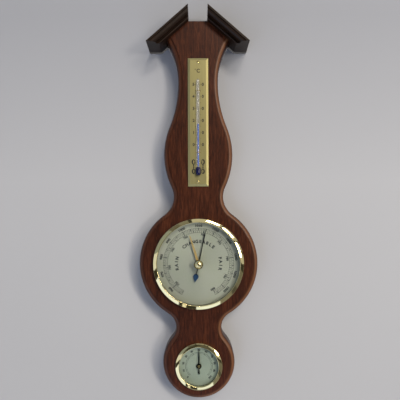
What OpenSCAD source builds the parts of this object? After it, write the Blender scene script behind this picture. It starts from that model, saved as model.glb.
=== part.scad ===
// Wall barometer: thermometer, aneroid barometer and hygrometer on a shaped mahogany board
// Lengths are in millimetres. +Z is up, the wall is the plane Y = 0, and the front faces -Y.
// The origin is the middle of the hanger's keyhole, on the back of the board.

/* [Backboard] */
// Thickness of the board
board_t = 24; // [23.5:0.5:32]
// Height of the board's flat top edge above the hanger
board_top = 20.4; // [19.6:0.2:26]
// Drop from the hanger to the narrowest place of the waist
waist_drop = 51.8; // [46:0.2:58]
// Width of the board at the waist
waist_w = 48; // [44:0.5:56]
// Radius of the hollow sides above the waist
flare_r = 100; // [90:1:160]
// Drop from the hanger to the widest place of the chest
chest_drop = 139.8; // [132:0.2:146]
// Width of the board across the chest
chest_w = 82.8; // [76:0.2:90]
// Radius of the chest's sides
chest_r = 90; // [80:1:110]
// Radius of the hollow corners between chest and main circle
neck_r = 27; // [22:0.5:30]
// Drop from the hanger to the barometer's centre
dial_drop = 270.5; // [266:0.5:276]
// Radius of the board's main circle
main_r = 71.5; // [69:0.5:76]
// Radius of the hollow corners between main circle and foot
ankle_r = 19.5; // [17:0.5:26]
// Drop from the hanger to the middle of the board's foot
foot_drop = 390.2; // [386:0.2:396]
// Radius of the board's foot
foot_r = 43.3; // [40:0.1:48]

/* [Edge moulding] */
// Width of the moulding, seen from the front
edge_w = 5.8; // [5.4:0.1:8]
// Depth of the small step inside the moulding
edge_step = 0.9; // [0.5:0.1:1.5]
// Radius of the moulding's rounding
edge_round = 5; // [3:0.1:5.2]

/* [Pediment] */
// Width across both cornice strips
pediment_w = 121; // [110:1:132]
// Gap between the two strips
pediment_gap = 23; // [19:1:29]
// Slope of the strips from level
pediment_pitch = 41.1; // [36:0.1:45]
// Thickness of a strip, square to its slope
strip_t = 10; // [9.6:0.1:13]
// Depth of a strip from the wall to its front
strip_d = 38.8; // [36:0.1:46]
// Height of the flat band along a strip's front
band_h = 2.2; // [1:0.1:2.4]
// Setback of the round below the flat band
band_lip = 1.2; // [0.6:0.1:2]
// Radius of the large round on a strip's front
round_r = 4.4; // [3.4:0.1:4.6]
// Radius of the bead along a strip's lower front
bead_r = 1.15; // [0.8:0.05:1.3]
// Setback of the bead from the strip's front
bead_back = 8; // [7:0.1:10]
// Radius of a panel pin
panel_pin_r = 0.7; // [0.5:0.05:1]
// Length of a panel pin
panel_pin_l = 22; // [18:1:26]

/* [Hanger] */
// Radius of the keyhole's round part
keyhole_r = 4.5; // [3.5:0.1:6]
// Width of the keyhole's slot
keyhole_slot = 4.4; // [3:0.1:5]
// Height from the keyhole's middle to the top of its slot
keyhole_rise = 9; // [7:0.5:10]
// Thickness of the hanger plate
hanger_t = 1.2; // [0.8:0.1:2]
// Width of the hanger plate
hanger_w = 36; // [33:1:38]
// Height of the hanger plate
hanger_h = 21; // [20:0.5:22]
// Depth of the pocket for the wall screw's head
pocket_d = 7; // [5:0.5:9]

/* [Thermometer] */
// Drop from the hanger to the plate's centre
thermo_drop = 101.2; // [96:0.2:106]
// Width of the plate
plate_w = 24.5; // [22:0.5:28]
// Height of the plate
plate_h = 153.5; // [146:0.5:160]
// Thickness of the plate
plate_t = 2; // [1.8:0.1:3]
// Width of the plate's bevel
bevel_w = 2.6; // [1.5:0.1:3.5]
// Height of the plate's bevel
bevel_h = 1.2; // [0.6:0.1:1.4]
// Radius of the glass tube
tube_r = 2; // [1.6:0.1:2.4]
// Radius of the tube's bore
bore_r = 0.8; // [0.5:0.05:1]
// Radius of the glass bulb
bulb_r = 2.85; // [2.5:0.05:3]
// Height of the glass bulb
bulb_h = 10.6; // [8:0.1:12]
// Wall of the glass bulb
bulb_wall = 0.5; // [0.3:0.05:0.8]
// Height of the tube's top above the plate's centre
tube_top = 51.3; // [48:0.1:56]
// Drop from the plate's centre to the bulb's bottom
bulb_bottom = 64; // [60:0.5:66]
// Drop from the plate's centre to the mark of zero degrees
zero_drop = 27; // [24:0.5:30]
// Height of one degree Celsius on the scale
degree_h = 1.44; // [1.3:0.01:1.5]
// Degrees Celsius shown by the spirit
degrees_shown = 17; // [-10:1:50]
// Radius of the clips' wire
clip_wire_r = 0.35; // [0.25:0.05:0.5]
// Distance of each clip from the plate's centre
clip_reach = 36.4; // [30:0.2:45]
// Distance of each plate pin from the plate's end
plate_pin_inset = 5.35; // [4.5:0.05:8]
// Radius of a plate pin's head
plate_pin_head_r = 1.7; // [1.3:0.1:2.2]

/* [Barometer case and glass] */
// Radius of the dial, spacer ring, glass and case flange
dial_r = 52; // [50:0.5:54]
// How far the bezel stands out past the glass
bezel_lap = 2; // [1.5:0.1:4]
// How far the bezel covers the edge of the dial
bezel_cover = 2.75; // [2.5:0.05:3.2]
// Radius of the bezel's gently rounded front
bezel_round = 18; // [14:0.5:22]
// Thickness of the bezel's metal
bezel_wall = 0.8; // [0.6:0.1:1]
// Radius of the prongs that hold a bezel in the board
prong_r = 0.4; // [0.3:0.05:0.5]
// Length of a prong in the board
prong_l = 7; // [4:1:10]
// Depth of the rebate in the board's front
rebate_d = 2.4; // [1.6:0.1:3]
// Width of the case's flange
flange_w = 8; // [7:0.5:9]
// Thickness of the case's metal
case_wall = 0.8; // [0.6:0.1:1.2]
// Depth inside the case, behind the dial
case_depth = 19.6; // [19.4:0.1:20]
// Thickness of the dial
dial_t = 0.8; // [0.5:0.1:1.2]
// Radius of the dial's centre hole
dial_hole_r = 2.5; // [2:0.1:4]
// Space for the hands, between dial and glass
hand_space = 4.2; // [4:0.1:6]
// Thickness of the glass
glass_t = 1.8; // [1.5:0.1:2.5]
// Width of the spacer ring
spacer_w = 2.3; // [1.5:0.1:2.6]

/* [Hands] */
// Reading of the pointer, in degrees clockwise from the top
pointer_angle = 12; // [-150:1:150]
// Length of the pointer from the centre to its tip
pointer_l = 42.5; // [36:0.5:46]
// Length of the pointer's tail
pointer_tail = 23; // [18:0.5:26]
// Radius of the leaf on the pointer's tail
leaf_r = 3.2; // [2:0.1:3.6]
// Thickness of the hands
hand_t = 0.4; // [0.3:0.05:0.5]
// Reading of the set hand, in degrees clockwise from the top
set_angle = -17.3; // [-180:0.1:180]
// Length of the set hand
set_l = 36; // [30:0.5:42]
// Radius of the set hand's knob
knob_r = 5.4; // [4:0.1:7]
// Height of the knob in front of the glass
knob_h = 6; // [4:0.5:8]
// Radius of the knob's shaft
shaft_r = 1.55; // [1.2:0.05:2]

/* [Movement] */
// Radius of the base plate
base_r = 38; // [37:0.5:41]
// Thickness of the base plate
base_t = 1.5; // [1.2:0.1:1.8]
// Radius of the capsule
capsule_r = 16; // [13:0.5:17]
// Height of the capsule
capsule_h = 5.4; // [4.6:0.1:5.6]
// Radius of the capsule's post
post_r = 1.6; // [1.3:0.1:1.8]
// Width of the mainspring
leaf_w = 14; // [10:0.5:18]
// Thickness of the mainspring and the bridges
leaf_t = 1; // [0.8:0.1:1.1]
// Distance of the bridge pillars from the centre
pillar_reach = 22; // [20.5:0.5:25]
// Radius of the bridge pillars
pillar_r = 2.2; // [1.8:0.1:2.6]
// Distance of the upper bridge's posts from the centre
cock_reach = 12; // [10:0.5:14]
// Radius of the pointer's arbor
arbor_r = 0.75; // [0.6:0.05:1]
// Radius of the arbor's drum
drum_r = 0.95; // [0.85:0.05:1.1]
// Distance from the centre to the rocker shaft's axis
rocker_reach = 30; // [28:0.5:31]
// Height of the rocker shaft's axis above the base plate
rocker_h = 2.7; // [2.5:0.1:3.2]
// Length of the rocker's short arm
short_arm = 3; // [2.5:0.1:3.5]
// Radius of the rocker shaft
rocker_r = 1; // [0.8:0.05:1.2]
// Turns of the hairspring
hair_turns = 5; // [3:1:6]
// Outer radius of the hairspring
hair_r = 7; // [5:0.5:8]

/* [Hygrometer] */
// Drop from the hanger to the hygrometer's centre
hygro_drop = 393.1; // [390:0.1:396]
// Radius of the dial, ring, glass and case flange
hygro_dial_r = 26.5; // [25.5:0.5:28]
// How far the bezel stands out past the glass
hygro_lap = 1.5; // [1.2:0.1:3]
// How far the bezel covers the edge of the dial
hygro_cover = 3.15; // [2.8:0.05:3.2]
// Radius of the bezel's gently rounded front
hygro_round = 18; // [14:0.5:22]
// Width of the case's flange
hygro_flange_w = 4.5; // [4.3:0.1:5.5]
// Depth inside the case, behind the dial
hygro_depth = 19; // [14:0.5:20]
// Space for the needle, between dial and glass
hygro_space = 2.8; // [2.6:0.1:4]
// Thickness of the glass
hygro_glass_t = 1.4; // [1:0.1:2]
// Length of the needle from the centre to its tip
needle_l = 18.6; // [15:0.2:21]
// Length of the needle's tail
needle_tail = 9.6; // [7:0.2:13]
// Radius of the ring on the needle
needle_ring_r = 3.25; // [2.6:0.05:4]
// Radius of the needle's arbor
needle_arbor_r = 0.6; // [0.5:0.05:0.8]
// Turns of the humidity coil
coil_turns = 6; // [4:1:8]
// Outer radius of the humidity coil
coil_r = 12; // [10:0.5:13]

/* [Fits] */
// Gap round a piece that is held fast
seat_gap = 0.05; // [0.02:0.01:0.1]
// Gap round a piece that turns in its bore
run_gap = 0.05; // [0.03:0.01:0.1]
// Gap between pieces that move past each other
clear_gap = 0.3; // [0.3:0.05:0.4]

/* [Hidden] */
$fn = 180;

// Length by which a cutting body passes the face that it opens
past = 1;

// Centres of the outline's arcs on the right, seen from the front. Neighbours touch on the line
// through their centres, whose angle is rounded so that both end in exactly the same plane.
main_c = [0, -dial_drop];
foot_c = [0, -foot_drop];
chest_c = [chest_w / 2 - chest_r, -chest_drop];
neck_guess = meet(main_c, main_r + neck_r, chest_c, chest_r + neck_r);
neck_low = even(heading(main_c, neck_guess));
neck_high = even(heading(chest_c, neck_guess));
neck_c = crossing(main_c, neck_low, chest_c, neck_high);
neck_arc_r = norm(neck_c - main_c) - main_r;
chest_arc_r = norm(neck_c - chest_c) - neck_arc_r;
ankle_guess = meet(foot_c, foot_r + ankle_r, main_c, main_r + ankle_r);
ankle_low = even(heading(foot_c, ankle_guess));
ankle_high = even(heading(main_c, ankle_guess));
ankle_c = crossing(foot_c, ankle_low, main_c, ankle_high);
ankle_arc_r = norm(ankle_c - main_c) - main_r;
foot_arc_r = norm(ankle_c - foot_c) - ankle_arc_r;
waist_run = waist_w / 2 - chest_c[0];
waist_rise = chest_drop - waist_drop;
sweep_guess = (waist_run * waist_run + waist_rise * waist_rise - chest_r * chest_r)
    / (2 * (chest_r - waist_run));
sweep_low = even(heading(chest_c, [waist_w / 2 + sweep_guess, -waist_drop]));
sweep_c = crossing(chest_c, sweep_low, [0, -waist_drop], 0);
sweep_arc_r = norm(sweep_c - chest_c) - chest_arc_r;
flare_c = [sweep_c[0] - sweep_arc_r + flare_r, -waist_drop];
flare_turn = even(asin((board_top + waist_drop) / flare_r));

// Arcs from the top down: centre, radius, lower angle, upper angle, and 1 where it bulges outwards
EDGE = [
    [flare_c, flare_r, 180 - flare_turn, 180, -1],
    [sweep_c, sweep_arc_r, 180, 180 + sweep_low, -1],
    [chest_c, chest_arc_r, neck_high, sweep_low, 1],
    [neck_c, neck_arc_r, 180 + neck_high, 180 + neck_low, -1],
    [main_c, main_r, ankle_high, neck_low, 1],
    [ankle_c, ankle_arc_r, 180 + ankle_high, 180 + ankle_low, -1],
    [foot_c, foot_arc_r, -90, ankle_low, 1]
];

// Width of the ring that carries the moulding, and how far the board's core stays inside the outline
ring_w = 2 * edge_round + 1;
core_inset = edge_w + 2;
edge_wall = board_t - edge_step - edge_round;
arc_step = 8;
turn_steps = 24;

// Radii that follow from the glasses'
bezel_r = dial_r + bezel_lap;
bezel_in_r = dial_r - bezel_cover;
case_r = dial_r - flange_w;
hygro_bezel_r = hygro_dial_r + hygro_lap;
hygro_in_r = hygro_dial_r - hygro_cover;
hygro_case_r = hygro_dial_r - hygro_flange_w;

// Screws, pins and holes: radii of shanks and heads, heights of heads, and lengths
screw_tip_r = 0.01;
slot_w = 0.5;
case_screw_r = 0.9;
case_screw_head_r = 2;
case_screw_l = 12;
hygro_screw_shank_r = 0.8;
hygro_screw_head_r = 1.6;
hygro_screw_l = 10;
hanger_screw_r = 1.3;
hanger_screw_head_r = 2.4;
hanger_screw_l = 12;
hanger_screw_inset = 5;
hanger_gap = 0.1;
hanger_mid = (keyhole_rise - keyhole_r) / 2;
pocket_half_w = keyhole_r + 2.5;
pocket_top = keyhole_rise - keyhole_slot / 2 + keyhole_r + 1;
panel_pin_sink = 0.3;
plate_pin_reach = plate_h / 2 - plate_pin_inset;
plate_pin_r = 0.7;
plate_pin_l = 10;
plate_pin_head_h = 0.9;
small_screw_r = 0.9;
small_head_r = 1.6;
small_head_h = 0.8;
base_screw_r = 1;
base_screw_head_r = 2.2;
base_screw_head_h = 1.2;
bridge_screw_l = 6;
hygro_bridge_screw_l = 5;
adjust_r = 1.5;
adjust_head_r = 2.6;
adjust_head_h = 1.2;
adjust_sink = 0.4;
adjust_hole_r = 3;
vent_r = 1.5;
vent_reach = 20;
hygro_vent_reach = 14;
hygro_vent_turns = [45, 135, 225, 315];

// Pediment: heights of the strips' tips and of their level outer ends
tip_y = board_top + strip_t / cos(pediment_pitch);
strip_end_y = tip_y - (pediment_w - pediment_gap) / 2 * tan(pediment_pitch);
seat_l = pediment_w / 2 / cos(pediment_pitch);
pin_places = [7, 22];
band_quirk = 0.4;

// Depths from the wall, barometer
rebate_z = board_t - rebate_d;
dial_back = rebate_z + case_wall;
dial_front = dial_back + dial_t;
glass_back = dial_front + hand_space;
glass_front = glass_back + glass_t;
case_in = dial_back - case_depth;
case_back = case_in - case_wall;
base_top = case_in + base_t;
rebate_gap = 0.3;
prong_turns = [0, 120, 240];
flange_screw_r = (case_r + dial_r) / 2 + 0.3;
flange_screw_turns = [60, 180, 300];
base_screw_reach = 32;
base_screw_turns = [90, 210, 330];
hole_room = 0.1;
bezel_lean = 28;
bezel_rise = 1.5;
bezel_nose = 0.6;
bezel_edge = 0.45;
glass_room = 0.15;

// Depths from the wall, movement
capsule_foot_h = 1.3;
capsule_bottom = base_top + capsule_foot_h;
capsule_top = capsule_bottom + capsule_h;
capsule_rim_w = 1;
capsule_rim_t = 0.6;
capsule_foot_r = 2.5;
capsule_stud_r = 1.4;
capsule_waves = 4;
capsule_wave_h = 0.35;
capsule_boss_w = 1.4;
leaf_z = capsule_top + 2;
leaf_top = leaf_z + leaf_t;
post_top = leaf_top + 1.2;
cross_pin_r = 0.5;
cross_pin_l = 8;
bridge_z = leaf_top + 2;
bridge_top = bridge_z + leaf_t;
cock_h = 3;
cock_z = bridge_top + cock_h;
cock_top = cock_z + leaf_t;
flange_t = 0.3;
drum_h = 1;
drum_z = bridge_top + clear_gap + flange_t;
drum_top = drum_z + drum_h;
collet_r = 1.4;
hair_w = 0.3;
hair_h = 0.5;
hair_z = drum_top + flange_t + 0.25;
hair_stud_r = 0.6;
solder_gap = 0.02;
arbor_end = 0.2;
pillar_foot_r = 1.2;
cock_post_r = 1.8;
bridge_end = 1;
cock_end = 3;
chain_w = 0.5;
chain_pitch = 1.5;
chain_link_l = 0.9;
chain_z = drum_z + drum_h / 2;
chain_y = -(drum_r + chain_w / 2 + solder_gap);
bridge_w = 6;

// Mainspring: a leaf bent back on itself round the bend's centre
bend_x = -24;
bend_r = (leaf_top - base_top) / 2;
bend_z = base_top + bend_r;
leaf_end = 12;
foot_end = -17.6;
foot_screw_x = -21;
foot_screw_y = 4.5;
rivet_x = 8;
rivet_y = 3;
rivet_r = 0.9;
rivet_head_w = 0.6;
rivet_head_h = 0.5;

// Rocker shaft, its arms and the link between it and the main lever
rocker_z = base_top + rocker_h;
link_x = rocker_reach - short_arm;
lever_start = 5;
lever_w = 10;
lever_ear_y = 2.2;
lever_ear_t = 1;
lever_ear_l = 2;
lever_tip_w = 1.6;
lever_t = 0.8;
lever_pin_z = leaf_top - 0.8;
link_pin_r = 0.4;
link_t = 1;
link_eye_r = 1;
link_w = 1.2;
link_play = 0.16;
link_y = lever_ear_y + lever_ear_t + clear_gap;
short_arm_y = link_y + link_t + clear_gap;
arm_t = 1;
arm_w = 1.6;
arm_eye_r = 0.8;
collar_w = 0.6;
pivot_r = 0.6;
ear_y = 9;
ear_t = 1;
ear_half_w = 1.5;
bracket_t = 0.8;
bracket_end = 2.4;
bracket_slot = 2.8;
bracket_screw_x = rocker_reach + 4.4;

// Hands, in front of the dial: half widths along the pointer's blade, then depths and bosses
pointer_root_w = 0.7;
pointer_neck_w = 0.45;
pointer_blade_w = 0.8;
pointer_neck_at = 0.5;
pointer_blade_at = 0.8;
pointer_eye_r = 2.2;
pointer_boss_r = 1.6;
pointer_boss_h = 0.5;
leaf_rise = 2.3 * leaf_r;
hand_fit = 0.03;
pointer_z = dial_front + 1.5;
arbor_top = pointer_z + hand_t + arbor_end;
set_hand_z = glass_back - 0.7 - hand_t;
set_boss_z = arbor_top + 0.4;
set_boss_r = 2.6;
set_root_w = 1.6;
set_tip_w = 0.7;
set_tip_l = 2;
set_eye_w = 0.4;
set_stem_w = 0.3;
stem_sink = 0.2;
washer_t = 0.3;
washer_r = 3.4;
washer_gap = 0.05;
knob_neck_r = 2.6;
knob_neck_h = 1;
knob_rim_h = 2;
knob_edge = 0.8;

// Depths from the wall, hygrometer
hygro_rebate_d = 2;
hygro_hole_r = 2;
hygro_ring_inset = 0.5;
hygro_rebate_z = board_t - hygro_rebate_d;
hygro_dial_t = 0.6;
hygro_dial_back = hygro_rebate_z + case_wall;
hygro_dial_front = hygro_dial_back + hygro_dial_t;
hygro_glass_back = hygro_dial_front + hygro_space;
hygro_glass_front = hygro_glass_back + hygro_glass_t;
hygro_case_in = hygro_dial_back - hygro_depth;
hygro_screw_r = (hygro_case_r + hygro_dial_r) / 2 + 0.3;
hygro_screw_turns = [90, 210, 330];
hygro_post_reach = 15;
hygro_post_r = 1.5;
hygro_bridge_end = 2.5;
hygro_bridge_z = hygro_dial_back - 3.8;
hygro_bridge_top = hygro_bridge_z + leaf_t;
needle_z = hygro_dial_front + 1.3;
needle_cap_r = 1.65;
needle_cap_h = 0.3;
needle_tail_w = 0.8;
needle_neck_w = 0.5;
needle_blade_w = 1;
needle_tip_w = 0.35;
needle_tip_l = 0.6;
needle_blade_at = 0.55;
bush_r = 2;
bush_h = 2;
bush_floor = 0.4;
needle_end = 0.6;
coil_h = 5;
coil_z = hygro_case_in + 4.2;
coil_w = 0.35;
coil_collet_r = 2;
coil_collet_over = 0.3;
coil_stud_r = 0.8;

// Thermometer tube, in front of the plate
plate_front = board_t + plate_t;
tube_gap = 0.1;
tube_z = plate_front + tube_r + tube_gap;
tube_cap = 1;
bulb_top = bulb_h - bulb_bottom;
bulb_gap = 0.4;
spirit_gap = 0.03;
column_top = degrees_shown * degree_h - zero_drop;
clip_bend_r = tube_r + clip_wire_r + seat_gap;
clip_leg = 3;

// Point to the right of the line from the lower circle's centre to the upper one's, on both circles
function meet(c0, r0, c1, r1) =
    let (
        d = norm(c1 - c0),
        u = (c1 - c0) / d,
        a = (d * d + r0 * r0 - r1 * r1) / (2 * d),
        h = sqrt(r0 * r0 - a * a)
    ) c0 + a * u + h * [u[1], -u[0]];

function heading(from, to) = atan2(to[1] - from[1], to[0] - from[0]);

function even(angle) = round(angle * 50) / 50;

// Point where the line from p at angle a crosses the line through q at angle b
function crossing(p, a, q, b) =
    let (s = (cos(b) * (q[1] - p[1]) - sin(b) * (q[0] - p[0])) / (cos(b) * sin(a) - sin(b) * cos(a)))
    p + s * [cos(a), sin(a)];

// Points along one arc of the outline, moved inwards by inset, from after its upper end down
function arc_points(arc, inset) =
    let (
        r = arc[1] - arc[4] * inset,
        first = arc[4] > 0 ? arc[3] : arc[2],
        last = arc[4] > 0 ? arc[2] : arc[3],
        steps = ceil(abs(last - first) / arc_step)
    ) [for (i = [1:steps]) let (a = first + (last - first) * i / steps)
        arc[0] + r * [cos(a), sin(a)]];

// The core's outline on the right; it starts on the board's top edge
function right_side(inset) = concat(
    [EDGE[0][0] + (EDGE[0][1] + inset) * [cos(EDGE[0][2]), sin(EDGE[0][2])]],
    [for (arc = EDGE) each arc_points(arc, inset)]
);

// Outline of a flat strip wound from the inner to the outer radius, ending at the top
function spiral(r_in, r_out, turns, w) =
    let (
        steps = turn_steps * turns,
        line = [for (i = [0:steps])
            [r_in + (r_out - r_in) * i / steps, 90 + 360 * (i / turn_steps - turns)]]
    ) concat(
        [for (p = line) p[0] * [cos(p[1]), sin(p[1])]],
        [for (i = [steps:-1:0]) (line[i][0] + w) * [cos(line[i][1]), sin(line[i][1])]]
    );

// Turns a drawing made as seen from the front, with its depth from the wall as height, upright
module front() {
    rotate([90, 0, 0]) children();
}

module at_drop(drop) {
    front() translate([0, -drop, 0]) children();
}

// Moves to p in two steps, a round one and a tiny one, which keeps all of its digits in the export
module place(p) {
    coarse = [round(p[0] * 100) / 100, round(p[1] * 100) / 100];
    translate(coarse) translate(p - coarse) children();
}

module both_sides() {
    children();
    mirror([1, 0, 0]) children();
}

// Round bar along the depth, between two depths from the wall
module bar(r, z0, z1) {
    translate([0, 0, z0]) cylinder(r = r, h = z1 - z0);
}

module ring(r_out, r_in, z0, z1) {
    difference() {
        bar(r_out, z0, z1);
        bar(r_in, z0 - past, z1 + past);
    }
}

module around(reach, turns) {
    for (a = turns) rotate([0, 0, a]) translate([reach, 0, 0]) children();
}

// Countersunk screw whose flat head is at depth z and which points to the wall
module flat_screw(head_r, shank_r, length, z) {
    bar(shank_r, z - length, z - head_r / 2);
    translate([0, 0, z - head_r]) cylinder(r1 = screw_tip_r, r2 = head_r, h = head_r);
}

module flat_screw_hole(head_r, shank_r, length, z) {
    bar(shank_r + seat_gap, z - length - seat_gap, z);
    translate([0, 0, z - head_r])
        cylinder(r1 = screw_tip_r + seat_gap, r2 = head_r + seat_gap, h = head_r);
    bar(head_r + seat_gap, z, z + past);
}

// Slotted cheese-head screw: its head lies from depth z towards the front
module head_screw(head_r, head_h, shank_r, length, z) {
    difference() {
        union() {
            bar(head_r, z, z + head_h);
            bar(shank_r, z - length, z);
        }
        translate([-head_r - past, -slot_w / 2, z + head_h / 2])
            cube([2 * (head_r + past), slot_w, head_h]);
    }
}

module small_screw(length, z) {
    head_screw(small_head_r, small_head_h, small_screw_r, length, z);
}

// Section of the board's edge: across from the outline inwards, up from the wall to the front
module edge_section() {
    square([ring_w, edge_wall]);
    translate([edge_round, 0]) square([ring_w - edge_round, board_t - edge_step]);
    translate([edge_w, 0]) square([ring_w - edge_w, board_t]);
    translate([edge_round, edge_wall]) circle(r = edge_round);
}

module edge_arc(arc) {
    place(arc[0]) rotate_extrude(angle = arc[3] - arc[2], start = arc[2]) place([arc[1], 0])
        if (arc[4] > 0) mirror([1, 0]) edge_section();
        else edge_section();
}

module board_form() {
    right = right_side(core_inset);
    left = [for (i = [len(right) - 1:-1:0]) [-right[i][0], right[i][1]]];
    reach = pediment_w;
    bottom = -foot_drop - foot_r - past;
    slope_drop = (reach - pediment_gap / 2) * tan(pediment_pitch);
    intersection() {
        union() {
            linear_extrude(board_t) polygon(concat(right, left));
            both_sides() for (arc = EDGE) edge_arc(arc);
        }
        translate([0, 0, -past]) linear_extrude(board_t + 2 * past)
            polygon([
                [pediment_gap / 2, board_top], [reach, board_top - slope_drop], [reach, bottom],
                [-reach, bottom], [-reach, board_top - slope_drop], [-pediment_gap / 2, board_top]
            ]);
    }
}

module hanger_form(grow, z1) {
    translate([-hanger_w / 2 - grow, hanger_mid - hanger_h / 2 - grow, 0])
        cube([hanger_w + 2 * grow, hanger_h + 2 * grow, z1]);
}

module at_hanger_screws() {
    for (x = [-1, 1]) translate([x * (hanger_w / 2 - hanger_screw_inset), hanger_mid, 0]) children();
}

// Places on a strip's seat, with x down the slope and y square to it
module on_slope() {
    front() both_sides() translate([pediment_gap / 2, board_top, 0]) rotate([0, 0, -pediment_pitch])
        children();
}

module panel_pin(grow) {
    for (x = pin_places) translate([x, strip_t - panel_pin_sink + grow, board_t / 2]) rotate([90, 0, 0])
        cylinder(r = panel_pin_r + grow, h = panel_pin_l + 2 * grow);
}

module at_plate_pins() {
    for (y = [-1, 1]) translate([0, y * plate_pin_reach, 0]) children();
}

module at_clip_legs() {
    for (y = [-1, 1], x = [-1, 1]) translate([x * clip_bend_r, y * clip_reach, 0]) children();
}

module case_screw_holes() {
    around(flange_screw_r, flange_screw_turns)
        flat_screw_hole(case_screw_head_r, case_screw_r, case_screw_l, dial_back);
}

module hygro_screw_holes() {
    around(hygro_screw_r, hygro_screw_turns)
        flat_screw_hole(hygro_screw_head_r, hygro_screw_shank_r, hygro_screw_l, hygro_dial_back);
}

module backboard() {
    color([0.30, 0.12, 0.09]) difference() {
        front() board_form();
        at_drop(dial_drop) {
            bar(case_r + rebate_gap, -past, board_t);
            bar(dial_r + rebate_gap, rebate_z, board_t + past);
            case_screw_holes();
            prongs(bezel_r, seat_gap);
        }
        at_drop(hygro_drop) {
            prongs(hygro_bezel_r, seat_gap);
            bar(hygro_case_r + rebate_gap, -past, board_t);
            bar(hygro_dial_r + rebate_gap, hygro_rebate_z, board_t + past);
            hygro_screw_holes();
        }
        front() {
            translate([0, 0, -past]) hanger_form(hanger_gap, hanger_t + past);
            translate([-pocket_half_w, -pocket_half_w, 0])
                cube([2 * pocket_half_w, pocket_half_w + pocket_top, hanger_t + pocket_d]);
            at_hanger_screws() bar(hanger_screw_r + seat_gap, -past, hanger_screw_l + seat_gap);
        }
        at_drop(thermo_drop) {
            at_plate_pins() bar(plate_pin_r + seat_gap, plate_front - plate_pin_l - seat_gap, board_t + past);
            at_clip_legs() bar(clip_wire_r + seat_gap, board_t - clip_leg - seat_gap, board_t + past);
        }
        on_slope() panel_pin(seat_gap);
    }
}

// Section of a cornice strip: across from its seat, up from the wall to its front
module strip_section() {
    bead_z = strip_d - bead_back - bead_r;
    round_z = strip_d - band_lip - round_r;
    round_t = strip_t - band_h - band_quirk;
    square([strip_t, bead_z]);
    translate([bead_r, bead_z]) circle(r = bead_r);
    translate([2 * bead_r, 0]) square([strip_t - 2 * bead_r, bead_z + bead_r + band_quirk]);
    translate([round_t - round_r, 0]) square([strip_t - round_t + round_r, round_z]);
    intersection() {
        translate([round_t, round_z]) circle(r = round_r);
        translate([round_t - round_r, round_z]) square([round_r, round_r]);
    }
    translate([round_t, 0]) square([strip_t - round_t, strip_d - band_lip]);
    translate([strip_t - band_h, 0]) square([band_h, strip_d]);
}

module strip_right() {
    color([0.17, 0.09, 0.07]) difference() {
        intersection() {
            translate([pediment_gap / 2, board_top, 0]) rotate([0, 0, -pediment_pitch])
                translate([-strip_t * 2, 0, 0]) rotate([90, 0, 90])
                    linear_extrude(seat_l + strip_t * 4) strip_section();
            translate([pediment_gap / 2, strip_end_y, -past])
                cube([pediment_w, tip_y - strip_end_y + past, strip_d + 2 * past]);
        }
        translate([pediment_gap / 2, board_top, 0]) rotate([0, 0, -pediment_pitch]) panel_pin(seat_gap);
    }
}

module cornice_right() {
    front() strip_right();
}

module cornice_left() {
    front() mirror([1, 0, 0]) strip_right();
}

module cornice_pins() {
    color("gray") on_slope() panel_pin(0);
}

module hanger_plate() {
    color("goldenrod") front() difference() {
        hanger_form(0, hanger_t);
        bar(keyhole_r, -past, hanger_t + past);
        translate([-keyhole_slot / 2, 0, -past])
            cube([keyhole_slot, keyhole_rise - keyhole_slot / 2, hanger_t + 2 * past]);
        translate([0, keyhole_rise - keyhole_slot / 2, 0])
            bar(keyhole_slot / 2, -past, hanger_t + past);
        at_hanger_screws() mirror([0, 0, 1])
            flat_screw_hole(hanger_screw_head_r, hanger_screw_r, hanger_screw_l, 0);
    }
}

module hanger_screws() {
    color("gold") front() at_hanger_screws() mirror([0, 0, 1])
        flat_screw(hanger_screw_head_r, hanger_screw_r, hanger_screw_l, 0);
}

// Plate with its four upper edges bevelled, lying on z = 0
module bevel_plate(w, h, t, across, down) {
    intersection() {
        rotate([90, 0, 0]) linear_extrude(h, center = true) bevel_section(w, t, across, down);
        rotate([90, 0, 90]) linear_extrude(w, center = true) bevel_section(h, t, across, down);
    }
}

module bevel_section(w, t, across, down) {
    polygon([
        [-w / 2, 0], [w / 2, 0], [w / 2, t - down], [w / 2 - across, t], [across - w / 2, t],
        [-w / 2, t - down]
    ]);
}

module thermometer_plate() {
    recess_r = bulb_r + bulb_gap;
    recess_z = tube_z - recess_r;
    recess_low = bulb_r - bulb_bottom;
    recess_high = bulb_top - bulb_r;
    color([0.74, 0.68, 0.42]) at_drop(thermo_drop) difference() {
        translate([0, 0, board_t]) bevel_plate(plate_w, plate_h, plate_t, bevel_w, bevel_h);
        for (y = [recess_low, recess_high])
            translate([0, y, 0]) bar(recess_r, recess_z, plate_front + past);
        translate([-recess_r, recess_low, recess_z])
            cube([2 * recess_r, recess_high - recess_low, plate_t + past]);
        at_plate_pins() bar(plate_pin_r + seat_gap, board_t - past, plate_front + past);
        at_clip_legs() bar(clip_wire_r + seat_gap, board_t - past, plate_front + past);
    }
}

// Cap of a ball on z = 0, with the given radius at its foot
module dome(r, h) {
    ball = (r * r + h * h) / (2 * h);
    rotate_extrude() intersection() {
        translate([0, h - ball]) circle(r = ball);
        square([r + past, h + past]);
    }
}

// Half section of a tube with a bulb at its foot, with the axis at x = 0
module vial_section(tube, bulb, bottom, bulb_end, top) {
    intersection() {
        union() {
            translate([0, bulb_end - bulb]) square([tube, top - tube - bulb_end + bulb]);
            translate([0, top - tube]) circle(r = tube);
            translate([0, bottom + bulb]) square([bulb, bulb_end - bottom - 2 * bulb]);
            translate([0, bottom + bulb]) circle(r = bulb);
            translate([0, bulb_end - bulb]) circle(r = bulb);
        }
        translate([0, bottom - past]) square([bulb + past, top - bottom + 2 * past]);
    }
}

module at_tube() {
    translate([0, -tube_z, -thermo_drop]) children();
}

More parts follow.
